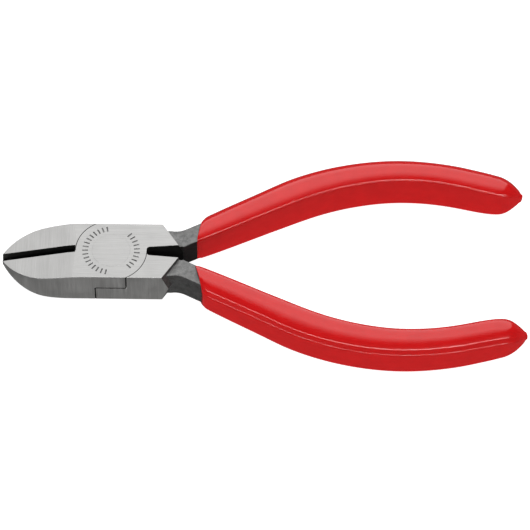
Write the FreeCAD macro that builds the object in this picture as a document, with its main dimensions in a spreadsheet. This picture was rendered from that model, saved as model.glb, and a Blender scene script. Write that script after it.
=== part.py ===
import FreeCAD, Part
import math
import os
import Sketcher
from FreeCAD import Placement, Rotation, Vector

# Lap-joint cutting pliers, in millimetres.
# +X runs from the pivot to the handle ends, +Y across the tool, +Z out of the front face.
# The origin is on the pivot axis, in the ground back face of the head.
# Each lever is drawn as the front one: its jaw at -Y and its handle at +Y, its half of the
# joint in front. The back lever is the same forging turned half a turn about the X axis.

DIMENSIONS = {
    # head
    "head_thick": 8.2,
    "half_width": 6.75,
    "joint_radius": 7.45,
    "lap_gap": 0.05,
    "shoulder_gap": 0.08,
    "over": 1.0,
    # jaw
    "jaw_reach": 22.9,
    "tip_half": 0.85,
    "nose_radius": 12.6,
    "nose_x": 14.0,
    "nose_y": 6.38,
    "flank_radius": 43.0,
    "flank_x": 8.0,
    "edge_gap": 0.015,
    "seam_rise": 0.5,
    "face_break": 7.8,
    "face_slope": 11.9,
    "face_blend": 20.0,
    "back_break": 12.0,
    "back_radius": 17.2,
    "bevel_half": 0.87,
    "bevel_start": 7.54,
    "bevel_over": 0.15,
    "edge_land": 0.25,
    # root of the handle
    "gap_half": 1.0,
    "gap_end_half": 1.65,
    "root_end": 15.2,
    "crotch_radius": 0.7,
    "root_front_x": 10.7,
    "root_angle": 33.2,
    "root_draft": 1.17,
    "neck_start": 9.5,
    "neck_inset": 0.25,
    "neck_lead": 0.4,
    "neck_valley_x": 12.6,
    "neck_valley_y": 5.6,
    "neck_valley_radius": 4.5,
    "neck_end": 15.4,
    # handle bar
    "bar_wide": 3.75,
    "bar_thick": 6.65,
    "bar_inset": 0.75,
    "bar_start": 14.2,
    "bar_end": 78.0,
    "front_slope": 27.4,
    "rear_slope": 13.9,
    "bow_radius": 54.7,
    "bow_x": 61.6,
    "bow_y": 21.65,
    # grip section: drops below its flat top, and distances in from its two sides
    "inner_drop": 0.5,
    "crown_inner": 1.4,
    "crown_outer": 2.6,
    "crease_in": 0.85,
    "crease_drop": 0.97,
    "flank_drop": 2.0,
    "full_width": 5.0,
    "mouth_slant": 12.0,
    # rivet
    "rivet_radius": 2.5,
    "rivet_head_depth": 1.5,
    "running_gap": 0.03,
    # stamped tick marks round the pivot
    "tick_inner": 4.85,
    "tick_long": 1.2,
    "tick_wide": 0.3,
    "tick_deep": 0.12,
    "tick_start_left": 100.0,
    "tick_arc_left": 160.0,
    "tick_start_right": -46.0,
    "tick_arc_right": 92.0,
}

TICKS_LEFT = 17
TICKS_RIGHT = 10

# Where the bevel's sections lie along the jaw's curved back, as shares of its length.
BEVEL_SHARES = (0.3, 0.55, 0.75, 0.9, 1.03)

# Grip stations: distance along X, width, thickness, and how far the centre moves outwards.
GRIP_STATIONS = [
    (18.7, 5.45, 8.6, 0.0),
    (22.8, 5.85, 9.1, -0.07),
    (31.0, 6.2, 9.8, -0.15),
    (39.7, 6.6, 10.1, -0.22),
    (46.0, 6.55, 10.1, -0.2),
    (52.0, 6.4, 10.1, -0.16),
    (61.0, 6.15, 10.1, -0.05),
    (66.0, 6.1, 10.1, -0.06),
    (71.0, 6.0, 10.05, -0.08),
    (77.6, 6.0, 9.75, -0.08),
    (80.7, 5.9, 9.4, -0.05),
    (81.8, 5.8, 9.1, 0.0),
    (82.8, 5.6, 8.7, 0.0),
    (83.9, 5.0, 7.75, 0.05),
    (84.9, 4.0, 6.15, 0.15),
    (86.0, 2.55, 3.9, 0.3),
    (87.1, 1.15, 1.5, 0.35),
]

LINE = 0
CLOCKWISE = -1
ANTICLOCKWISE = 1
SLIM = 1e-6

# An upright edge is picked by its distance in plan from a point, and by its height.
EDGE_REACH = 0.8
UPRIGHT_LENGTH = 1.0

doc = FreeCAD.newDocument("pliers")
sheet = doc.addObject("Spreadsheet::Sheet", "dim")


def fill_sheet():
    for row, (alias, size) in enumerate(DIMENSIONS.items(), start=1):
        sheet.set(f"A{row}", alias)
        sheet.set(f"B{row}", str(size))
        sheet.setAlias(f"B{row}", alias)
    doc.recompute()


def number(expression):
    """The value of an expression over the sheet's cells."""
    result = sheet.evalExpression(str(expression))
    return float(getattr(result, "Value", result))


def origin_plane(body, role):
    return next(item for item in body.Origin.OriginFeatures if item.Role == role)


def new_sketch(body, name, role, offset=Placement()):
    sketch = body.newObject("Sketcher::SketchObject", name)
    sketch.AttachmentSupport = [(origin_plane(body, role), "")]
    sketch.MapMode = "FlatFace"
    sketch.AttachmentOffset = offset
    return sketch


def arc_between(start, end, radius, turn):
    """The short circular arc from start to end that turns the given way."""
    chord = end - start
    half = chord.Length / 2
    left = Vector(-chord.y, chord.x, 0).normalize()
    centre = (start + end) / 2 + left * turn * math.sqrt(max(radius**2 - half**2, 0))
    first, last = (start, end) if turn == ANTICLOCKWISE else (end, start)
    angles = [math.atan2(p.y - centre.y, p.x - centre.x) for p in (first, last)]
    circle = Part.Circle(centre, Vector(0, 0, 1), radius)
    return Part.ArcOfCircle(circle, angles[0], angles[1])


def draw(sketch, corners, closed=True):
    """Draw a chain of lines and arcs whose corners and radii are bound to the sheet.

    Each corner is (x, y) or (x, y, radius, turn), the arc being the edge that leaves it.
    """
    places = [Vector(number(c[0]), number(c[1]), 0) for c in corners]
    edges = len(corners) if closed else len(corners) - 1
    starts = []
    ends = []
    for index in range(edges):
        begin = places[index]
        finish = places[(index + 1) % len(places)]
        turn = corners[index][3] if len(corners[index]) > 2 else LINE
        if turn == LINE:
            sketch.addGeometry(Part.LineSegment(begin, finish))
        else:
            sketch.addGeometry(arc_between(begin, finish, number(corners[index][2]), turn))
        starts.append(2 if turn == CLOCKWISE else 1)
        ends.append(1 if turn == CLOCKWISE else 2)
    for index in range(edges if closed else edges - 1):
        after = (index + 1) % edges
        sketch.addConstraint(
            Sketcher.Constraint("Coincident", index, ends[index], after, starts[after])
        )
    for index, corner in enumerate(corners):
        edge, point = (index, starts[index]) if index < edges else (edges - 1, ends[-1])
        for axis, kind, word in ((0, "DistanceX", "x"), (1, "DistanceY", "y")):
            bind_size(sketch, kind, (-1, 1, edge, point), f"{word}{index}", corner[axis])
        if len(corner) > 2:
            bind_size(sketch, "Radius", (index,), f"radius{index}", corner[2])


def bind_size(sketch, kind, places, name, expression):
    at = sketch.addConstraint(Sketcher.Constraint(kind, *places, number(expression)))
    sketch.renameConstraint(at, name)
    sketch.setExpression(f"Constraints.{name}", str(expression))


def feature(body, kind, name, profile, **settings):
    """Add a PartDesign feature on a sketch; text settings are expressions over the sheet."""
    item = body.newObject(f"PartDesign::{kind}", name)
    item.Profile = profile
    for key, value in settings.items():
        if key in ("Length", "Angle"):
            item.setExpression(key, value)
        else:
            setattr(item, key, value)
    profile.Visibility = False
    doc.recompute()
    return item


def cut(body, kind, name, profile, **settings):
    """A feature that must remove material."""
    before = body.Shape.Volume
    item = feature(body, kind, name, profile, **settings)
    if not body.Shape.Volume < before - SLIM:
        raise RuntimeError(f"{name} removes nothing")
    return item


def round_upright_edge(body, name, place, radius):
    """Fillet the upright edges that stand close to the given point in plan."""
    base = body.Tip
    names = []
    for index, edge in enumerate(base.Shape.Edges, start=1):
        low, high = edge.BoundBox.ZMin, edge.BoundBox.ZMax
        middle = edge.BoundBox.Center
        away = math.hypot(middle.x - place[0], middle.y - place[1])
        if away < EDGE_REACH and high - low > UPRIGHT_LENGTH:
            names.append(f"Edge{index}")
    fillet = body.newObject("PartDesign::Fillet", name)
    fillet.Base = (base, names)
    fillet.setExpression("Radius", radius)
    doc.recompute()
    return fillet


# ---- levers ----

SEAM_X = "sqrt(dim.joint_radius^2 - dim.half_width^2)"
GAP_X = "sqrt(dim.joint_radius^2 - dim.gap_half^2)"


def seam_at(x, turned):
    """Where the jaws meet, in the lever's own drawing: a line that rises from tip to joint."""
    side = -1 if turned else 1
    return f"({side} * dim.seam_rise * (dim.jaw_reach - {x}) / (dim.jaw_reach - dim.joint_radius))"


def head_block(body, turned):
    """Jaw, joint disc and handle root as one outline, at the head's full thickness."""
    edge_y = f"({seam_at('dim.joint_radius', turned)} - dim.edge_gap)"
    edge_x = f"sqrt(dim.joint_radius^2 - {edge_y}^2)"
    sketch = new_sketch(body, "head_outline", "XY_Plane")
    draw(sketch, [
        ("-dim.jaw_reach", "-dim.edge_gap"),
        (f"-{edge_x}", edge_y, "dim.joint_radius", CLOCKWISE),
        (f"-{SEAM_X}", "dim.half_width"),
        ("dim.root_end", "dim.half_width"),
        ("dim.root_end", "dim.gap_end_half"),
        (GAP_X, "dim.gap_half", "dim.joint_radius", CLOCKWISE),
        (SEAM_X, "-dim.half_width"),
        ("-dim.flank_x", "-dim.half_width", "dim.flank_radius", CLOCKWISE),
        ("-dim.nose_x", "-dim.nose_y", "dim.nose_radius", CLOCKWISE),
        ("-dim.jaw_reach", "-dim.tip_half"),
    ])
    feature(body, "Pad", "head_block", sketch, Length="dim.head_thick")


def root_shoulder(body):
    """Cut the root's end back to two faces that meet in a ridge at mid thickness."""
    offset = Placement(
        Vector(number("dim.root_front_x"), 0, -number("dim.half_width")),
        Rotation(Vector(0, 1, 0), number("dim.root_angle")),
    )
    sketch = new_sketch(body, "shoulder_notch", "XZ_Plane", offset)
    sketch.setExpression(".AttachmentOffset.Base.x", "dim.root_front_x")
    sketch.setExpression(".AttachmentOffset.Base.z", "-dim.half_width")
    sketch.setExpression(".AttachmentOffset.Rotation.Angle", "dim.root_angle")
    draw(sketch, [
        ("0", "dim.head_thick + dim.over"),
        ("0", "dim.head_thick"),
        ("dim.root_draft", "dim.head_thick / 2"),
        ("0", "0"),
        ("0", "-dim.over"),
        ("dim.root_end", "-dim.over"),
        ("dim.root_end", "dim.head_thick + dim.over"),
    ])
    cut(body, "Pocket", "shoulder_notch", sketch, Type="ThroughAll", SideType="Symmetric")


def lap_recess(body):
    """Mill out the half of the joint that the other lever's disc fills."""
    sketch = new_sketch(body, "lap_circle", "XY_Plane")
    circle = Part.Circle(Vector(0, 0, 0), Vector(0, 0, 1), number("dim.joint_radius"))
    sketch.addGeometry(circle)
    sketch.addConstraint(Sketcher.Constraint("Coincident", 0, 3, -1, 1))
    bind_size(sketch, "Radius", (0,), "recess", "dim.joint_radius + dim.shoulder_gap")
    depth = "(dim.head_thick + dim.lap_gap) / 2"
    cut(body, "Pocket", "lap_recess", sketch, Length=depth, Reversed=True)


def height(expression, turned):
    """A height in the lever's own drawing, for the turned lever measured from its other face."""
    return f"dim.head_thick - ({expression})" if turned else expression


def front_slope_at(x):
    """Height of the jaw's sloping front face at a distance from the pivot."""
    return f"(dim.head_thick - ({x} - dim.face_break) * tan(dim.face_slope * 1deg))"


def back_curve_at(x):
    """Height of the jaw's rounded back at a distance from the pivot."""
    return f"(dim.back_radius - sqrt(dim.back_radius^2 - ({x} - dim.back_break)^2))"


def jaw_faces(body, turned):
    """Slope the jaw's front face down to the tip, and round its back up to meet it."""
    beyond = "(dim.jaw_reach + dim.over)"
    tangent = "dim.face_blend * tan(dim.face_slope / 2 * 1deg)"
    blend_end = f"(dim.face_break + {tangent} * cos(dim.face_slope * 1deg))"
    above = height("dim.head_thick + dim.over", turned)
    sketch = new_sketch(body, "jaw_front", "XZ_Plane")
    draw(sketch, [
        (f"-(dim.face_break - {tangent})", height("dim.head_thick", turned), "dim.face_blend",
         CLOCKWISE if turned else ANTICLOCKWISE),
        (f"-{blend_end}", height(front_slope_at(blend_end), turned)),
        (f"-{beyond}", height(front_slope_at(beyond), turned)),
        (f"-{beyond}", above),
        (f"-(dim.face_break - {tangent})", above),
    ])
    cut(body, "Pocket", "jaw_front", sketch, Type="ThroughAll", SideType="Symmetric")

    below = height("-dim.over", turned)
    sketch = new_sketch(body, "jaw_back", "XZ_Plane")
    draw(sketch, [
        ("-dim.back_break", height("0", turned), "dim.back_radius",
         ANTICLOCKWISE if turned else CLOCKWISE),
        (f"-{beyond}", height(back_curve_at(beyond), turned)),
        (f"-{beyond}", below),
        ("-dim.back_break", below),
    ])
    cut(body, "Pocket", "jaw_back", sketch, Type="ThroughAll", SideType="Symmetric")


def bevel_section(body, name, x, turned):
    """One upright section of the wedge that is ground off the jaw's inner side."""
    sketch = new_sketch(body, name, "YZ_Plane", Placement(Vector(0, 0, -number(x)), Rotation()))
    sketch.setExpression(".AttachmentOffset.Base.z", f"-({x})")
    level = back_curve_at(x) if number(x) > number("dim.back_break") else "0"
    edge = f"({level} + dim.edge_land)"
    top = f"({front_slope_at(x)} + dim.bevel_over)"
    seam = seam_at(x, turned)
    wall = f"(dim.edge_gap + (dim.bevel_half - dim.edge_gap) * ({top} - {edge})"
    wall = f"{wall} / ({front_slope_at(x)} - {edge}))"
    draw(sketch, [
        ("dim.over", height(edge, turned)),
        (f"{seam} - dim.edge_gap", height(edge, turned)),
        (f"{seam} - {wall}", height(top, turned)),
        ("dim.over", height(top, turned)),
    ])
    return sketch


def jaw_bevel(body, turned):
    """Grind the bevel from the front face down to the flush cutting edge at the back."""
    curved = "(dim.jaw_reach - dim.back_break)"
    stations = ["dim.bevel_start", "dim.back_break"]
    stations += [f"(dim.back_break + {curved} * {share})" for share in BEVEL_SHARES]
    sections = [bevel_section(body, f"bevel_{i}", x, turned) for i, x in enumerate(stations)]
    doc.recompute()
    cut(body, "SubtractiveLoft", "jaw_bevel", sections[0], Sections=sections[1:], Ruled=True)


def path_height(x, inset):
    """Height in plan of the handle's front straight run at a distance x along the tool."""
    run = "dim.bow_x - dim.bow_radius * sin(dim.front_slope * 1deg)"
    rise = "dim.bow_y - dim.bow_radius * (1 - cos(dim.front_slope * 1deg))"
    return f"({rise} - ({run} - ({x})) * tan(dim.front_slope * 1deg) - {inset})"


def neck(body):
    """The forged neck between the ground root and the handle bar, thinner than the head."""
    base = (number("dim.head_thick") - number("dim.bar_thick")) / 2
    sketch = new_sketch(body, "neck_outline", "XY_Plane", Placement(Vector(0, 0, base), Rotation()))
    sketch.setExpression(".AttachmentOffset.Base.z", "(dim.head_thick - dim.bar_thick) / 2")
    half = "dim.bar_wide / 2 / cos(dim.front_slope * 1deg)"
    middle = path_height("dim.neck_end", "dim.bar_inset")
    draw(sketch, [
        ("dim.neck_start", "dim.gap_half + dim.neck_inset"),
        ("dim.bar_start - dim.neck_lead", "dim.gap_end_half"),
        ("dim.neck_end", f"{middle} - {half}"),
        ("dim.neck_end", f"{middle} + {half}", "dim.neck_valley_radius", CLOCKWISE),
        ("dim.neck_valley_x", "dim.neck_valley_y"),
        ("dim.neck_start", "dim.neck_valley_y"),
    ])
    feature(body, "Pad", "neck", sketch, Length="dim.bar_thick")


def bar_sweep(body, kind, name):
    """Sweep the handle bar's rectangle along a straight run, a bow and a straight run."""
    path = new_sketch(body, f"{name}_path", "XY_Plane",
                      Placement(Vector(0, 0, number("dim.head_thick / 2")), Rotation()))
    path.setExpression(".AttachmentOffset.Base.z", "dim.head_thick / 2")
    front_x = "(dim.bow_x - dim.bow_radius * sin(dim.front_slope * 1deg))"
    rear_x = "(dim.bow_x + dim.bow_radius * sin(dim.rear_slope * 1deg))"
    rear_y = "(dim.bow_y - dim.bow_radius * (1 - cos(dim.rear_slope * 1deg)) - dim.bar_inset)"
    draw(path, [
        ("dim.bar_start", path_height("dim.bar_start", "dim.bar_inset")),
        (front_x, path_height(front_x, "dim.bar_inset"), "dim.bow_radius", CLOCKWISE),
        (rear_x, rear_y),
        ("dim.bar_end", f"{rear_y} - (dim.bar_end - {rear_x}) * tan(dim.rear_slope * 1deg)"),
    ], closed=False)
    start_y = path_height("dim.bar_start", "dim.bar_inset")
    section = cross_section(body, f"{name}_section", "dim.bar_start", start_y, "dim.front_slope")
    draw(section, [
        ("-dim.bar_wide / 2", "-dim.bar_thick / 2"),
        ("dim.bar_wide / 2", "-dim.bar_thick / 2"),
        ("dim.bar_wide / 2", "dim.bar_thick / 2"),
        ("-dim.bar_wide / 2", "dim.bar_thick / 2"),
    ])
    doc.recompute()
    edges = [f"Edge{i + 1}" for i in range(3)]
    maker = cut if kind == "SubtractivePipe" else feature
    return maker(body, kind, name, section, Spine=(path, edges))


def cross_section(body, name, x, y, heading):
    """A sketch square to the handle at a point in plan, its own x axis pointing outwards."""
    turn = Rotation(Vector(0, 1, 0), number(heading))
    place = Vector(number(y), number("dim.head_thick / 2"), number(x))
    sketch = new_sketch(body, name, "YZ_Plane", Placement(place, turn))
    sketch.setExpression(".AttachmentOffset.Base.x", str(y))
    sketch.setExpression(".AttachmentOffset.Base.y", "dim.head_thick / 2")
    sketch.setExpression(".AttachmentOffset.Base.z", str(x))
    sketch.setExpression(".AttachmentOffset.Rotation.Angle", str(heading))
    return sketch


def rivet_bore(body, gap):
    """Bore and countersink for the rivet, wider than it by the given gap."""
    sketch = new_sketch(body, "bore_profile", "XZ_Plane")
    radius = f"(dim.rivet_radius + {gap})"
    draw(sketch, [
        ("0", "-dim.over"),
        (radius, "-dim.over"),
        (radius, "dim.head_thick - dim.rivet_head_depth"),
        (f"{radius} + dim.rivet_head_depth + dim.over", "dim.head_thick + dim.over"),
        ("0", "dim.head_thick + dim.over"),
    ])
    cut(body, "Groove", "rivet_bore", sketch, ReferenceAxis=(sketch, ["V_Axis"]))


def tick_marks(body, name, start, arc, count):
    """Stamped radial ticks along an arc round the pivot, in place of any lettering."""
    top = Placement(Vector(0, 0, number("dim.head_thick")), Rotation(Vector(0, 0, 1), number(start)))
    sketch = new_sketch(body, f"{name}_sketch", "XY_Plane", top)
    sketch.setExpression(".AttachmentOffset.Base.z", "dim.head_thick")
    sketch.setExpression(".AttachmentOffset.Rotation.Angle", start)
    draw(sketch, [
        ("dim.tick_inner", "-dim.tick_wide / 2"),
        ("dim.tick_inner + dim.tick_long", "-dim.tick_wide / 2"),
        ("dim.tick_inner + dim.tick_long", "dim.tick_wide / 2"),
        ("dim.tick_inner", "dim.tick_wide / 2"),
    ])
    tick = cut(body, "Pocket", name, sketch, Length="dim.tick_deep")
    before = body.Shape.Volume
    ring = body.newObject("PartDesign::PolarPattern", f"{name}_ring")
    ring.Originals = [tick]
    ring.Axis = (sketch, ["N_Axis"])
    ring.setExpression("Angle", arc)
    ring.Occurrences = count
    body.Tip = ring
    doc.recompute()
    if not body.Shape.Volume < before - SLIM:
        raise RuntimeError(f"{name} pattern removes nothing")


def lever(label, turned):
    body = doc.addObject("PartDesign::Body", label)
    head_block(body, turned)
    crotch = (number(GAP_X), number("dim.gap_half"))
    round_upright_edge(body, "crotch_round", crotch, "dim.crotch_radius")
    root_shoulder(body)
    lap_recess(body)
    jaw_faces(body, turned)
    jaw_bevel(body, turned)
    neck(body)
    bar_sweep(body, "AdditivePipe", "bar")
    rivet_bore(body, "dim.running_gap" if turned else "0")
    if not turned:
        tick_marks(body, "ticks_left", "dim.tick_start_left", "dim.tick_arc_left", TICKS_LEFT)
        tick_marks(body, "ticks_right", "dim.tick_start_right", "dim.tick_arc_right", TICKS_RIGHT)
    return body


# ---- rivet ----

def rivet(label):
    body = doc.addObject("PartDesign::Body", label)
    sketch = new_sketch(body, "rivet_profile", "XZ_Plane")
    head = "dim.rivet_radius + dim.rivet_head_depth"
    draw(sketch, [
        ("0", "0"),
        (head, "0"),
        ("dim.rivet_radius", "dim.rivet_head_depth"),
        ("dim.rivet_radius", "dim.head_thick - dim.rivet_head_depth"),
        (head, "dim.head_thick"),
        ("0", "dim.head_thick"),
    ])
    feature(body, "Revolution", "rivet", sketch, ReferenceAxis=(sketch, ["V_Axis"]))
    return body


# ---- grips ----

def path_point(x):
    """Point and heading, in degrees, of the handle's centreline at a distance along X."""
    radius = number("dim.bow_radius")
    bow_x = number("dim.bow_x")
    bow_y = number("dim.bow_y")
    front = math.radians(number("dim.front_slope"))
    rear = math.radians(number("dim.rear_slope"))
    ratio = max(-math.sin(front), min(math.sin(rear), (x - bow_x) / radius))
    angle = math.asin(ratio)
    y = bow_y - radius * (1 - math.cos(angle))
    y -= (x - bow_x - radius * ratio) * math.tan(angle)
    return y, -math.degrees(angle)


def grip_section(body, name, station):
    """One ten-sided section: a crisp inner edge, crowned faces and a bevelled outer side.

    The first section, the sleeve's mouth, is slanted so that the sleeve starts further along on
    its outer side.
    """
    x, wide, thick, shift = station
    y, heading = path_point(x)
    if station is GRIP_STATIONS[0]:
        slant = number("dim.mouth_slant")
        wide /= math.cos(math.radians(heading + slant))
        heading = -slant
    sketch = cross_section(body, name, x, y + shift, heading)
    share = min(1.0, wide / number("dim.full_width"))
    top = f"{thick / 2}"
    out = f"{wide / 2}"
    half = [
        (f"-{out}", f"{top} - dim.inner_drop * {share}"),
        (f"-{out} + dim.crown_inner * {share}", top),
        (f"{out} - dim.crown_outer * {share}", top),
        (f"{out} - dim.crease_in * {share}", f"{top} - dim.crease_drop * {share}"),
        (out, f"{top} - dim.flank_drop * {share}"),
    ]
    mirrored = [(across, f"-({up})") for across, up in reversed(half)]
    draw(sketch, half + mirrored)
    return sketch


def grip(label):
    body = doc.addObject("PartDesign::Body", label)
    sections = [grip_section(body, f"section_{i}", s) for i, s in enumerate(GRIP_STATIONS)]
    doc.recompute()
    feature(body, "AdditiveLoft", "sleeve", sections[0], Sections=sections[1:], Ruled=True)
    bar_sweep(body, "SubtractivePipe", "bar_socket")
    return body


def turn_over(body):
    """Turn a piece half a turn about the X axis, on to the other face of the head."""
    body.Placement = Placement(Vector(0, 0, number("dim.head_thick")),
                               Rotation(Vector(1, 0, 0), 180))


def check(bodies):
    doc.recompute()
    for item in doc.Objects:
        if "Invalid" in item.State or "Error" in item.State:
            raise RuntimeError(f"{item.Name} did not compute: {item.State}")
    for body in bodies:
        if body.Shape.isNull() or not body.Shape.isValid():
            raise RuntimeError(f"{body.Label} is not a valid shape")
        print(body.Label, len(body.Shape.Solids), "solid", round(body.Shape.Volume, 1), "mm3")


def export(bodies):
    os.makedirs("parts", exist_ok=True)
    for body in bodies:
        body.Shape.exportStep(f"parts/{body.Label}.step")


fill_sheet()
front_lever = lever("front_lever", turned=False)
back_lever = lever("back_lever", turned=True)
pivot_rivet = rivet("pivot_rivet")
front_grip = grip("front_grip")
back_grip = grip("back_grip")
for piece in (back_lever, back_grip):
    turn_over(piece)
pieces = [front_lever, back_lever, pivot_rivet, front_grip, back_grip]
check(pieces)
export(pieces)
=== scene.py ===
import math

import bmesh
import bpy
import numpy as np
from mathutils import Matrix, Vector

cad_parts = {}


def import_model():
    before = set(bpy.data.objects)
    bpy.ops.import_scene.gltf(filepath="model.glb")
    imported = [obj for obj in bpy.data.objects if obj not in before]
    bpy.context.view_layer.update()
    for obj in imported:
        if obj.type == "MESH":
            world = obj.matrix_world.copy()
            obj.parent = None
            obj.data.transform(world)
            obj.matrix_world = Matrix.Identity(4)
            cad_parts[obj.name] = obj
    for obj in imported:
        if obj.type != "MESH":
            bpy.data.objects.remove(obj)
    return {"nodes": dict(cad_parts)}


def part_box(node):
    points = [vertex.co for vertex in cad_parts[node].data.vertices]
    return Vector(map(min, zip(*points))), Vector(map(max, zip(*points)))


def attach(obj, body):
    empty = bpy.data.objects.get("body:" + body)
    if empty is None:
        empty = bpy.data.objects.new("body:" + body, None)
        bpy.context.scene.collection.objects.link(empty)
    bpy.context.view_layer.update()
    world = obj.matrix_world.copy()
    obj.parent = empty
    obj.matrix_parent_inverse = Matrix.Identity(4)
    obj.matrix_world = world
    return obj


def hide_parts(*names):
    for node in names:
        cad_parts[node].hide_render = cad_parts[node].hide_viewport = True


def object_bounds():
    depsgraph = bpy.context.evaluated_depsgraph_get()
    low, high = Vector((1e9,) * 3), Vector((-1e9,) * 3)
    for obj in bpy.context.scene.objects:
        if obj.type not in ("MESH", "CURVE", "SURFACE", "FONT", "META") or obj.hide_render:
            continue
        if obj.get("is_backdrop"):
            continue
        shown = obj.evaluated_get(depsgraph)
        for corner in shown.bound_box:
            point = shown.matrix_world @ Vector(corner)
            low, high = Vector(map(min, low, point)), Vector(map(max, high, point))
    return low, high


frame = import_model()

MM = 0.001
cad_low, cad_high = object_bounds()

# ---- sizes, in millimetres, in the tool's own frame ----

# The head. The seam between the jaws rises from the tip to the joint.
HEAD_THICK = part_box("pivot_rivet")[1].z / MM
MID = HEAD_THICK / 2
HALF_WIDTH = 6.75
JOINT_RADIUS = 7.45
JAW_REACH = -cad_low.x / MM
SEAM_RISE = 0.5
# The handle's centreline: a bow between two straight runs, turned from X by these slopes.
FRONT_SLOPE = math.radians(27.4)
REAR_SLOPE = math.radians(13.9)
BOW_RADIUS = 54.7
BOW_X = 61.6
BOW_Y = 21.65


# ---- grips ----

GRIP_START = 18.55
GRIP_END = 86.8
# Knots along X: width, thickness and the centre's outward shift.
GRIP_KNOTS = [
    (18.5, 5.1, 8.2, 0.0),
    (19.4, 5.5, 8.6, 0.0),
    (22.8, 5.8, 9.0, -0.07),
    (31.0, 6.1, 9.6, -0.15),
    (39.7, 6.5, 10.0, -0.22),
    (50.0, 6.35, 10.0, -0.17),
    (61.0, 6.05, 10.05, -0.05),
    (71.0, 5.9, 9.95, -0.08),
    (77.6, 5.9, 9.65, -0.08),
    (80.7, 5.8, 9.25, -0.05),
    (81.8, 5.7, 8.95, 0.0),
    (82.8, 5.45, 8.5, 0.0),
    (83.9, 4.85, 7.6, 0.05),
    (84.9, 3.85, 6.0, 0.15),
    (86.0, 2.4, 3.75, 0.3),
    (86.85, 1.15, 1.8, 0.35),
]
# The grip's section. A grip narrower than the full width has all of it scaled down. The crown is
# level at its shift and falls by the drops, counted from the top, at the inner edge and at the
# crease, and the flank falls on from there to the outer side.
FULL_WIDTH = 5.0
INNER_DROP = 0.7
INNER_POWER = 3
INNER_RADIUS = 0.8
CREASE_RADIUS = 0.45
FLANK_RADIUS = 0.7
TIP_SOFTENING = 3.0
CREASE_IN = 0.85
CREASE_DROP = 0.97
FLANK_DROP = 2.0
CROWN_SHIFT = -0.1
OUTER_POWER = 2
CROWN_POINTS = 12
# The slopes of the two mouths, and how far along the sleeve they fade out.
FRONT_MOUTH = 0.26
BACK_MOUTH = 0.38
MOUTH_RUN = 9.0
# Rings along the sleeve: this share of their spacing is even, the rest gathers at both ends.
STATIONS = 190
EVEN_SHARE = 0.55
# The nib at the tip closes in these steps of a flattened dome.
NIB_RADIUS = 0.75
NIB_FLATNESS = 0.3
NIB_STEPS = (0.3, 0.6, 0.85)
# The mouth's rolled lip, ring by ring from the inside: how far inwards and how far along.
LIP_RINGS = ((0.30, 0.10), (0.22, -0.02), (0.10, -0.06))
# A rounded corner takes a little more than its radius, at most this share of each side, and a
# short lead on each side keeps the flats flat.
CORNER_EXTRA = 0.05
CORNER_SHARE = 0.46
CORNER_LEAD = 0.08


def eased(x, knots, column):
    """Smooth curve through the knots, without overshoot (monotone cubic)."""
    xs = np.array([k[0] for k in knots])
    ys = np.array([k[column] for k in knots])
    steps = np.diff(xs)
    rise = np.diff(ys) / steps
    slope = np.zeros(len(xs))
    for i in range(1, len(xs) - 1):
        if rise[i - 1] * rise[i] > 0:
            a = 2 * steps[i] + steps[i - 1]
            b = steps[i] + 2 * steps[i - 1]
            slope[i] = (a + b) / (a / rise[i - 1] + b / rise[i])
    i = int(np.clip(np.searchsorted(xs, x) - 1, 0, len(steps) - 1))
    u = (x - xs[i]) / steps[i]
    from_here = (1 + 2 * u) * (1 - u) ** 2 * ys[i] + u * (1 - u) ** 2 * steps[i] * slope[i]
    from_next = u * u * (3 - 2 * u) * ys[i + 1] + u * u * (u - 1) * steps[i] * slope[i + 1]
    return from_here + from_next


def handle_line(x):
    """Height in plan and heading of the handle's centreline: straight run, bow, straight run."""
    ratio = min(max((x - BOW_X) / BOW_RADIUS, -math.sin(FRONT_SLOPE)), math.sin(REAR_SLOPE))
    angle = math.asin(ratio)
    y = BOW_Y - BOW_RADIUS * (1 - math.cos(angle)) - (x - BOW_X - BOW_RADIUS * ratio) * math.tan(angle)
    return y, -angle


def section_corners(wide, thick):
    """Half of the grip's section: (outward, up, corner radius), from the inner edge outwards.

    Between the inner edge and the outer crease the top is a crown: two curves that meet level.
    Towards the tip everything shrinks with the width, and the corners grow rounder.
    """
    k = min(1.0, wide / FULL_WIDTH)
    soft = k * (1 + TIP_SOFTENING * (1 - k))
    half, top = wide / 2, thick / 2
    inner, crease, level = -half, half - CREASE_IN * k, CROWN_SHIFT * k
    corners = [(inner, top - INNER_DROP * k, INNER_RADIUS * soft)]
    for step in range(2, CROWN_POINTS):
        out = inner + (crease - inner) * step / CROWN_POINTS
        if out < level:
            fall = INNER_DROP * ((out - level) / (inner - level)) ** INNER_POWER
        else:
            fall = CREASE_DROP * ((out - level) / (crease - level)) ** OUTER_POWER
        corners.append((out, top - fall * k, 0.0))
    corners.append((crease, top - CREASE_DROP * k, CREASE_RADIUS * soft))
    corners.append((half, top - FLANK_DROP * k, FLANK_RADIUS * soft))
    return corners


def rounded_ring(corners, steps=5):
    """Points round a closed outline, each corner replaced by a short curve of its radius."""
    ring = []
    count = len(corners)
    for i, (x, y, radius) in enumerate(corners):
        here = Vector((x, y))
        if not radius:
            ring.append(here)
            continue
        before = Vector(corners[i - 1][:2])
        after = Vector(corners[(i + 1) % count][:2])
        back, ahead = before - here, after - here
        turn = math.pi - back.angle(ahead)
        room = CORNER_SHARE * min(back.length, ahead.length)
        reach = min(radius * math.tan(turn / 2) + CORNER_EXTRA, room)
        a, b = here + back.normalized() * reach, here + ahead.normalized() * reach
        ring.append(a + back.normalized() * reach * CORNER_LEAD)
        for j in range(steps):
            u = j / (steps - 1)
            ring.append((1 - u) ** 2 * a + 2 * u * (1 - u) * here + u * u * b)
        ring.append(b + ahead.normalized() * reach * CORNER_LEAD)
    return ring


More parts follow.
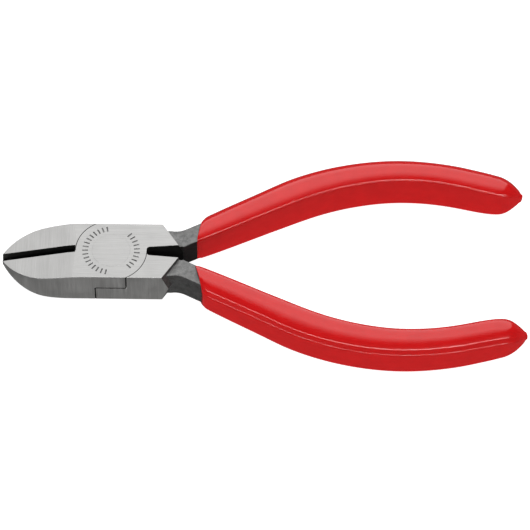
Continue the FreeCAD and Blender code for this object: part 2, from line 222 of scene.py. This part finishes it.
def grip_ring(x, mouth):
    """One ring of the front grip, in millimetres; its start is sheared to the slope of the mouth."""
    wide, thick, shift = (eased(x, GRIP_KNOTS, c) for c in (1, 2, 3))
    y, heading = handle_line(x)
    half = section_corners(wide, thick)
    corners = half + [(u, -v, r) for u, v, r in reversed(half)]
    along = Vector((math.cos(heading), math.sin(heading), 0))
    out = Vector((-along.y, along.x, 0))
    fade = max(0.0, 1 - (x - GRIP_START) / MOUTH_RUN) ** 2
    shear = (math.tan(heading) + mouth) * fade
    centre = Vector((x, y + shift, MID))
    return [centre + out * u + along * (u * shear) + Vector((0, 0, v)) for u, v in rounded_ring(corners)]


def grip_rings(mouth):
    """The sleeve's rings from its mouth to its domed tip."""
    spread = np.linspace(0, 1, STATIONS)
    ends = 0.5 - 0.5 * np.cos(math.pi * spread)
    places = GRIP_START + (GRIP_END - GRIP_START) * (EVEN_SHARE * spread + (1 - EVEN_SHARE) * ends)
    rings = [grip_ring(x, mouth) for x in places]
    tip = rings[-1]
    middle = sum(tip, Vector()) / len(tip)
    for step in NIB_STEPS:
        shrink = math.sqrt(1 - step * step)
        rise = Vector((NIB_RADIUS * NIB_FLATNESS * step, 0, 0))
        rings.append([middle + (p - middle) * shrink + rise for p in tip])
    return rings


def loft(name, rings):
    """A closed mesh over rings of points, capped at both ends."""
    mesh = bmesh.new()
    rows = [[mesh.verts.new(p * MM) for p in ring] for ring in rings]
    count = len(rings[0])
    for row, after in zip(rows, rows[1:]):
        for i in range(count):
            j = (i + 1) % count
            mesh.faces.new((row[i], row[j], after[j], after[i]))
    for row in (rows[0], rows[-1]):
        centre = mesh.verts.new(sum((v.co for v in row), Vector()) / count)
        for i in range(count):
            mesh.faces.new((row[i], centre, row[(i + 1) % count]))
    bmesh.ops.recalc_face_normals(mesh, faces=mesh.faces)
    data = bpy.data.meshes.new(name)
    mesh.to_mesh(data)
    mesh.free()
    for face in data.polygons:
        face.use_smooth = True
    piece = bpy.data.objects.new(name, data)
    bpy.context.scene.collection.objects.link(piece)
    return piece


def lip_rings(mouth):
    """Roll the sleeve's mouth over and in, on to the bar."""
    first = grip_ring(GRIP_START, mouth)
    middle = sum(first, Vector()) / len(first)
    rolled = []
    for inward, ahead in LIP_RINGS:
        ring = []
        for p in first:
            towards = (middle - p).normalized()
            ring.append(p + towards * inward + Vector((ahead, 0, 0)))
        rolled.append(ring)
    return rolled


def turned_over(rings):
    """The same rings turned half a turn about the X axis, through the head's mid thickness."""
    return [[Vector((p.x, -p.y, HEAD_THICK - p.z)) for p in ring] for ring in rings]


# ---- materials ----

def new_material(name):
    material = bpy.data.materials.new(name)
    material.use_nodes = True
    tree = material.node_tree
    return material, tree, tree.nodes["Principled BSDF"]


def node(tree, kind, **settings):
    made = tree.nodes.new(f"ShaderNode{kind}")
    for key, value in settings.items():
        if key in made.inputs:
            made.inputs[key].default_value = value
        else:
            setattr(made, key, value)
    return made


def noise(tree, stretch, scale, detail=4.0, roughness=0.6):
    """Noise in the tool's own frame, in cycles per millimetre, stretched by three factors."""
    place = node(tree, "TexCoord")
    spread = node(tree, "Mapping")
    spread.inputs["Scale"].default_value = [scale / MM * s for s in stretch]
    texture = node(tree, "TexNoise", Scale=1.0, Detail=detail, Roughness=roughness)
    tree.links.new(place.outputs["Object"], spread.inputs["Vector"])
    tree.links.new(spread.outputs["Vector"], texture.inputs["Vector"])
    return texture.outputs["Fac"]


def ramp(tree, source, low, high, low_value, high_value):
    """Map a value between low and high to a value or a colour between two others."""
    made = node(tree, "ValToRGB")
    made.color_ramp.elements[0].position = low
    made.color_ramp.elements[1].position = high
    for element, value in zip(made.color_ramp.elements, (low_value, high_value)):
        colour = (value,) * 3 if isinstance(value, float) else value
        element.color = (*colour, 1.0)
    tree.links.new(source, made.inputs["Fac"])
    return made.outputs["Color"]


def bump(tree, shader, height, strength, distance, edge_radius=None):
    made = node(tree, "Bump", Strength=strength, Distance=distance)
    tree.links.new(height, made.inputs["Height"])
    if edge_radius:
        edge = node(tree, "Bevel", Radius=edge_radius)
        edge.samples = 6
        tree.links.new(edge.outputs["Normal"], made.inputs["Normal"])
    tree.links.new(made.outputs["Normal"], shader.inputs["Normal"])


def maths(tree, operation, *values):
    made = node(tree, "Math", operation=operation)
    for socket, value in zip(made.inputs, values):
        if isinstance(value, (int, float)):
            socket.default_value = value
        else:
            tree.links.new(value, socket)
    return made.outputs["Value"]


def closeness(tree, value, target, width):
    """1 at the target, falling to 0 at a distance of width from it."""
    away = maths(tree, "ABSOLUTE", maths(tree, "SUBTRACT", value, target))
    made = maths(tree, "SUBTRACT", 1.0, maths(tree, "DIVIDE", away, width))
    return maths(tree, "MAXIMUM", made, 0.0)


def painted_seam_shade(tree, rim_reach, lap_reach):
    """1 in the painted shade of the seam between the levers: round the joint disc and along mid
    thickness.

    The disc's rim shows only where one lever's shoulder faces the other's disc, which in each
    quarter of the joint is on one side of mid thickness.
    """
    place = node(tree, "TexCoord")
    split = node(tree, "SeparateXYZ")
    tree.links.new(place.outputs["Object"], split.inputs["Vector"])
    x, y, z = (split.outputs[axis] for axis in "XYZ")
    squares = [maths(tree, "MULTIPLY", axis, axis) for axis in (x, y)]
    radius = maths(tree, "SQRT", maths(tree, "ADD", *squares))
    height = maths(tree, "SUBTRACT", z, MID * MM)
    side = maths(tree, "MULTIPLY", maths(tree, "MULTIPLY", x, y), height)
    on_rim = closeness(tree, radius, (JOINT_RADIUS + SEAM_GAP / 2) * MM, rim_reach * MM)
    rim = maths(tree, "MULTIPLY", on_rim, maths(tree, "LESS_THAN", side, 0.0))
    on_lap = closeness(tree, height, 0.0, lap_reach * MM)
    lap = maths(tree, "MULTIPLY", on_lap, maths(tree, "LESS_THAN", radius, JOINT_RADIUS * MM))
    line = maths(tree, "MAXIMUM", rim, lap)
    return maths(tree, "MINIMUM", maths(tree, "MULTIPLY", line, SEAM_DARKNESS), 1.0)


def ground_steel(name, stretch, tone, streak=0.74, rough=0.42, seam=(0.1, 0.1), edge=0.09):
    """Ground steel whose fine scratches run along the axis with the smallest stretch.

    The darkest streaks keep the given share of the tone. The seam is darkened by painted shade; its two
    reaches, round the rim and along the lap, and the worn edge's radius are in millimetres.
    """
    material, tree, shader = new_material(name)
    fine = noise(tree, stretch, SCRATCHES, detail=6.0, roughness=0.75)
    broad = noise(tree, stretch, BANDS, detail=4.0, roughness=0.6)
    wear = noise(tree, EVENLY, WEAR_PATCHES, detail=5.0)
    dark = tuple(c * streak for c in tone)
    streaks = node(tree, "Mix", data_type="RGBA", blend_type="MULTIPLY")
    streaks.inputs["Factor"].default_value = 1.0
    tree.links.new(ramp(tree, fine, 0.28, 0.68, dark, tone), streaks.inputs["A"])
    tree.links.new(ramp(tree, broad, 0.3, 0.7, 0.92, 1.0), streaks.inputs["B"])
    colour = node(tree, "Mix", data_type="RGBA", blend_type="MIX")
    # Painted shade: the seam between the levers is mixed towards near black.
    tree.links.new(painted_seam_shade(tree, *seam), colour.inputs["Factor"])
    tree.links.new(streaks.outputs["Result"], colour.inputs["A"])
    colour.inputs["B"].default_value = (*SEAM_SHADE, 1.0)
    tree.links.new(colour.outputs["Result"], shader.inputs["Base Color"])
    scratched = ramp(tree, fine, 0.25, 0.75, rough - ROUGH_SPREAD, rough + ROUGH_SPREAD)
    worn = ramp(tree, wear, 0.3, 0.7, 0.92, 1.08)
    tree.links.new(maths(tree, "MULTIPLY", scratched, worn), shader.inputs["Roughness"])
    shader.inputs["Metallic"].default_value = 1.0
    bump(tree, shader, fine, 0.35, SCRATCH_DEPTH, edge_radius=edge * MM)
    return material


def black_oxide(name, tone, rough, depth):
    """Blackened forged steel, mottled and slightly pitted."""
    material, tree, shader = new_material(name)
    mottle = noise(tree, EVENLY, MOTTLE, detail=7.0, roughness=0.7)
    pits = noise(tree, EVENLY, PITS, detail=5.0, roughness=0.65)
    dark = tuple(c * MOTTLE_SHARE for c in tone)
    tree.links.new(ramp(tree, mottle, 0.35, 0.68, dark, tone), shader.inputs["Base Color"])
    tree.links.new(ramp(tree, pits, 0.3, 0.7, rough - 0.1, rough + 0.12), shader.inputs["Roughness"])
    shader.inputs["Metallic"].default_value = 0.85
    bump(tree, shader, pits, 0.6, depth, edge_radius=FORGED_EDGE)
    return material


def dipped_plastic(name):
    """Glossy dipped coating with a faint ripple and fine handling marks."""
    material, tree, shader = new_material(name)
    ripple = noise(tree, EVENLY, RIPPLE, detail=3.0)
    marks = noise(tree, HANDLING, MARKS, detail=6.0, roughness=0.7)
    tree.links.new(ramp(tree, ripple, 0.35, 0.65, *RED_TONES), shader.inputs["Base Color"])
    tree.links.new(ramp(tree, marks, 0.4, 0.75, 0.13, 0.17), shader.inputs["Roughness"])
    shader.inputs["Specular IOR Level"].default_value = 0.42
    bump(tree, shader, ripple, 0.12, RIPPLE_DEPTH)
    return material


# How noise is stretched: long along the axis with the small factor.
EVENLY = (1, 1, 1)
ALONG_X = (0.02, 1.0, 1.0)
ALONG_Y = (1.0, 0.02, 1.0)
ALONG_Z = (1.0, 1.0, 0.02)
HANDLING = (0.25, 1, 1)

# How fine each kind of noise is, in cycles per millimetre.
SCRATCHES = 7.0
BANDS = 1.1
WEAR_PATCHES = 0.22
MOTTLE = 0.9
PITS = 3.5
RIPPLE = 0.35
MARKS = 2.2

SCRATCH_DEPTH = 0.02 * MM
RIPPLE_DEPTH = 0.15 * MM
FORGED_EDGE = 0.25 * MM
ROUGH_SPREAD = 0.09
MOTTLE_SHARE = 0.5

RED_TONES = ((0.645, 0.006, 0.007), (0.695, 0.007, 0.008))
JOINT_TONE = (0.362, 0.360, 0.355)
JAW_TONE = (0.345, 0.343, 0.338)
# The side walls' steel has a lighter tone than the faces' steel: painted light.
SIDE_LIT_TONE = (0.55, 0.545, 0.535)
FORGED_TONE = (0.175, 0.175, 0.173)
# Painted shade: a darker copy of the forged black for the tangs' inward faces.
INNER_SHADE_TONE = (0.05, 0.05, 0.048)
# Near black for the jaw bevels and crotch walls: black oxide darkened further by painted shade.
GROOVE_SHADE_TONE = (0.018, 0.018, 0.017)
# Near black painted shade for the seam between the levers.
SEAM_SHADE = (0.03, 0.03, 0.028)
SEAM_GAP = 0.08
SEAM_DARKNESS = 2.2

joint_steel = ground_steel("ground_joint", ALONG_X, JOINT_TONE, edge=0.04)
jaw_steel = ground_steel("ground_jaw", ALONG_Y, JAW_TONE)
# Painted light: the side walls get a lighter steel tone than the faces.
side_steel_lit = ground_steel("ground_side_lit", ALONG_Z, SIDE_LIT_TONE, streak=0.76, rough=0.5, seam=(0.08, 0.2))
forged = black_oxide("forged_black", FORGED_TONE, 0.45, 0.06 * MM)
inner = black_oxide("inner_black_shade", INNER_SHADE_TONE, 0.5, 0.04 * MM)
groove_shade = black_oxide("groove_black_shade", GROOVE_SHADE_TONE, 0.6, 0.02 * MM)
red = dipped_plastic("dipped_red")

LEVER_MATERIALS = [joint_steel, jaw_steel, side_steel_lit, forged, inner, groove_shade]
JOINT, JAW, SIDE, FORGED, INNER_SHADE, GROOVE_SHADE = range(len(LEVER_MATERIALS))

# Where one finish of a lever ends and the next begins, in millimetres. The ground root ends in a
# slanted face that starts at the side walls and runs back as it comes in.
ROOT_FRONT = 10.7
ROOT_RUN = 2.85
ROOT_WIDTH = 4.4
ROOT_MARGIN = 0.05
WALL_MARGIN = 0.02
CROTCH_START = 7.0
CROTCH_HALF = 1.8
TICK_RING_REACH = 6.4
TICK_FLOOR = 0.1
TICK_ZONE = 0.2
BEVEL_START = -7.3
BEVEL_REACH = 1.1
JAW_START = -7.6

# Limits for how far a face looks along an axis: squarely, by half, or just a little.
SQUARE = 0.9
HALF = 0.5
LITTLE = 0.2


def on_side_wall(y, normal):
    """Whether a face belongs to one of the head's two flat side walls."""
    return abs(abs(y) - HALF_WIDTH) < WALL_MARGIN and abs(normal.y) > SQUARE


def in_tick(x, y, z, normal):
    """Whether a face is the floor or a wall of a stamped tick mark."""
    near_ring = math.hypot(x, y) < TICK_RING_REACH and z > HEAD_THICK - TICK_ZONE
    return near_ring and (z < HEAD_THICK - TICK_FLOOR or abs(normal.z) < HALF)


def on_bevel(x, y, normal):
    """Whether a face is the bevel on the inner side of a jaw."""
    seam = SEAM_RISE * (x + JAW_REACH) / (JAW_REACH - JOINT_RADIUS)
    faces_seam = abs(normal.y) > LITTLE and normal.y * (y - seam) < 0
    return x < BEVEL_START and abs(y - seam) < BEVEL_REACH and faces_seam


def lever_surface(centre, normal):
    """Which finish a face of a lever has, some of them with painted light or shade, from its centre in
    millimetres and its normal.
    """
    x, y, z = centre
    root_end = ROOT_FRONT + ROOT_RUN * (HALF_WIDTH - abs(y)) / ROOT_WIDTH
    if x > root_end + ROOT_MARGIN and not on_side_wall(y, normal):
        # Tang faces turned inwards get a darker copy of the forged black: painted shade.
        return INNER_SHADE if normal.y * y < -HALF * abs(y) else FORGED
    # Crotch walls: near black, black oxide darkened by painted shade.
    if x > CROTCH_START and abs(y) < CROTCH_HALF and abs(normal.z) < HALF:
        return GROOVE_SHADE
    if in_tick(x, y, z, normal):
        return FORGED
    # Jaw bevels: near black, black oxide darkened by painted shade.
    if on_bevel(x, y, normal):
        return GROOVE_SHADE
    if abs(normal.z) < HALF:
        return SIDE
    return JAW if x < JAW_START else JOINT


def finish_lever(piece):
    piece.data.materials.clear()
    for material in LEVER_MATERIALS:
        piece.data.materials.append(material)
    for face in piece.data.polygons:
        centre = [c / MM for c in face.center]
        face.material_index = lever_surface(centre, face.normal)


for name in ("front_lever", "back_lever"):
    finish_lever(frame["nodes"][name])
rivet = frame["nodes"]["pivot_rivet"]
rivet.data.materials.clear()
rivet.data.materials.append(joint_steel)

for name, body, cad_node, mouth, place in (
    ("front_grip_sleeve", "front_half", "front_grip", FRONT_MOUTH, list),
    ("back_grip_sleeve", "back_half", "back_grip", BACK_MOUTH, turned_over),
):
    sleeve = loft(name, place(lip_rings(mouth) + grip_rings(mouth)))
    sleeve.data.materials.append(red)
    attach(sleeve, body)
    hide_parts(cad_node)

# ---- stage, light and camera ----

CAMERA_ELEVATION = math.radians(56.5)
CAMERA_ROLL = math.radians(-0.68)
CAMERA_DISTANCE = 0.75
VIEW_WIDTH = 0.11158
TABLE_GLOW = 1.0
TABLE_TONE = 0.35
FLOOR_HALF = 3.0
LIGHT_DISTANCE = 0.6
SOFTBOX_LOW = 9
SOFTBOX_TOPS = (70, 76, 83, 90, 97)
SOFTBOX_RADIANCE = 0.43
SOFTBOX_WIDTH = 1.1
FILL_DISTANCE = 0.8
FILL_SIZE = 0.8
FILL_POWER = 7.0
SOFT_WIDTH = 0.9
STRIP_WIDTH = 1.5
WORLD_GLOW = 0.11
BEHIND = 0
IN_FRONT = 180
AIM = Vector((0.0323, -0.00048, MID * MM))


def add_light(name, place, width, height, power):
    """A rectangular area light that faces the tool."""
    lamp = bpy.data.lights.new(name, "AREA")
    lamp.shape = "RECTANGLE"
    lamp.size, lamp.size_y = width, height
    lamp.energy = power
    light = bpy.data.objects.new(name, lamp)
    light.location = place
    light.rotation_mode = "QUATERNION"
    light.rotation_quaternion = (AIM - light.location).to_track_quat("-Z", "Y")
    bpy.context.scene.collection.objects.link(light)
    return light


def around(distance, elevation, azimuth=0.0):
    """A place seen from the tool: azimuth 0 is +Y, behind it, and 180 is in front."""
    e, a = math.radians(elevation), math.radians(azimuth)
    return AIM + distance * Vector((math.sin(a) * math.cos(e), math.cos(a) * math.cos(e), math.sin(e)))


def panel(name, low, high, radiance, azimuth, width):
    """A light that spans two elevations as seen from the tool, with a given brightness."""
    height = 2 * LIGHT_DISTANCE * math.tan(math.radians(high - low) / 2)
    place = around(LIGHT_DISTANCE, (low + high) / 2, azimuth)
    return add_light(name, place, width, height, radiance * math.pi * width * height)


def floor():
    """A pale table that glows white and isn't mirrored in the tool."""
    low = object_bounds()[0].z
    corners = [(x * FLOOR_HALF, y * FLOOR_HALF, low) for x, y in ((-1, -1), (1, -1), (1, 1), (-1, 1))]
    data = bpy.data.meshes.new("floor")
    data.from_pydata(corners, [], [(0, 1, 2, 3)])
    piece = bpy.data.objects.new("floor", data)
    bpy.context.scene.collection.objects.link(piece)
    material, tree, shader = new_material("floor_pale")
    shader.inputs["Base Color"].default_value = (TABLE_TONE, TABLE_TONE, TABLE_TONE, 1)
    shader.inputs["Roughness"].default_value = 0.9
    shader.inputs["Emission Color"].default_value = (1, 1, 1, 1)
    shader.inputs["Emission Strength"].default_value = TABLE_GLOW
    piece.data.materials.append(material)
    piece.visible_glossy = False
    piece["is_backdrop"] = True


def camera():
    lens = bpy.data.cameras.new("camera")
    lens.sensor_width = 36.0
    lens.lens = lens.sensor_width * CAMERA_DISTANCE / VIEW_WIDTH
    lens.clip_start = 0.01
    eye = bpy.data.objects.new("camera", lens)
    back = Vector((0, -math.cos(CAMERA_ELEVATION), math.sin(CAMERA_ELEVATION)))
    level = (-back).to_track_quat("-Z", "Y").to_matrix().to_4x4()
    eye.matrix_world = (Matrix.Translation(AIM + back * CAMERA_DISTANCE) @ level
                        @ Matrix.Rotation(-CAMERA_ROLL, 4, "Z"))
    bpy.context.scene.collection.objects.link(eye)
    bpy.context.scene.camera = eye


def world(strength):
    made = bpy.data.worlds.new("studio")
    made.use_nodes = True
    made.node_tree.nodes["Background"].inputs["Color"].default_value = (1, 1, 1, 1)
    made.node_tree.nodes["Background"].inputs["Strength"].default_value = strength
    bpy.context.scene.world = made


bpy.context.scene.view_settings.view_transform = "Standard"
floor()
world(WORLD_GLOW)
# Panels of rising height overlap behind the tool, so that their mirror image fades upwards.
for top in SOFTBOX_TOPS:
    softbox = panel(f"back_softbox_{top}", SOFTBOX_LOW, top, SOFTBOX_RADIANCE, BEHIND, SOFTBOX_WIDTH)
    softbox.visible_diffuse = False
# Soft light that isn't mirrored, then two strips that are only mirrored, mostly in the creases.
top_fill = add_light("top_fill", around(FILL_DISTANCE, 80), FILL_SIZE, FILL_SIZE, FILL_POWER)
top_fill.visible_glossy = False
panel("front_soft", 11, 39, 0.35, IN_FRONT, SOFT_WIDTH).visible_glossy = False
panel("front_strip", 33, 43, 13.5, IN_FRONT, STRIP_WIDTH).visible_diffuse = False
panel("low_strip", 1, 7, 11.0, IN_FRONT, STRIP_WIDTH).visible_diffuse = False
camera()
